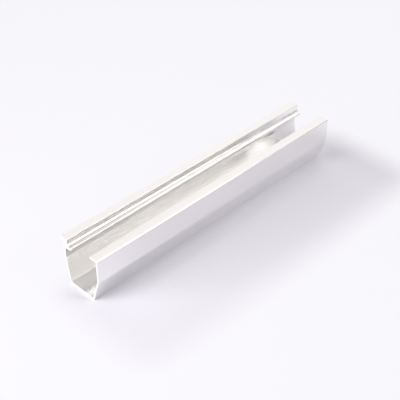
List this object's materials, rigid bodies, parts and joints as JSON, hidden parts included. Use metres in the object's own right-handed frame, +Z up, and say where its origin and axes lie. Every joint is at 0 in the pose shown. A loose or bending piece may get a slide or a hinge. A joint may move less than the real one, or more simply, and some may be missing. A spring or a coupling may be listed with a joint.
{
  "type": "strut channel",
  "caption": "Extruded aluminium channel of uneven section: leaning lower walls, an inward flange in front, and a thick ledged head with an outward flange behind.",
  "frame": {"origin": "middle of the length and of the overall width, on the underside of the base", "axes": "+X along the channel, +Z up out of its mouth, +Y towards the back wall with the thick head; the inward flange is on the -Y side"},
  "size_m": [0.257, 0.0412, 0.042],
  "materials": {
    "satin_aluminium": "satin as extruded, bright saw-cut ends"
  },
  "bodies": {
    "root": {"channel": "satin_aluminium"}
  },
  "joints": []
}
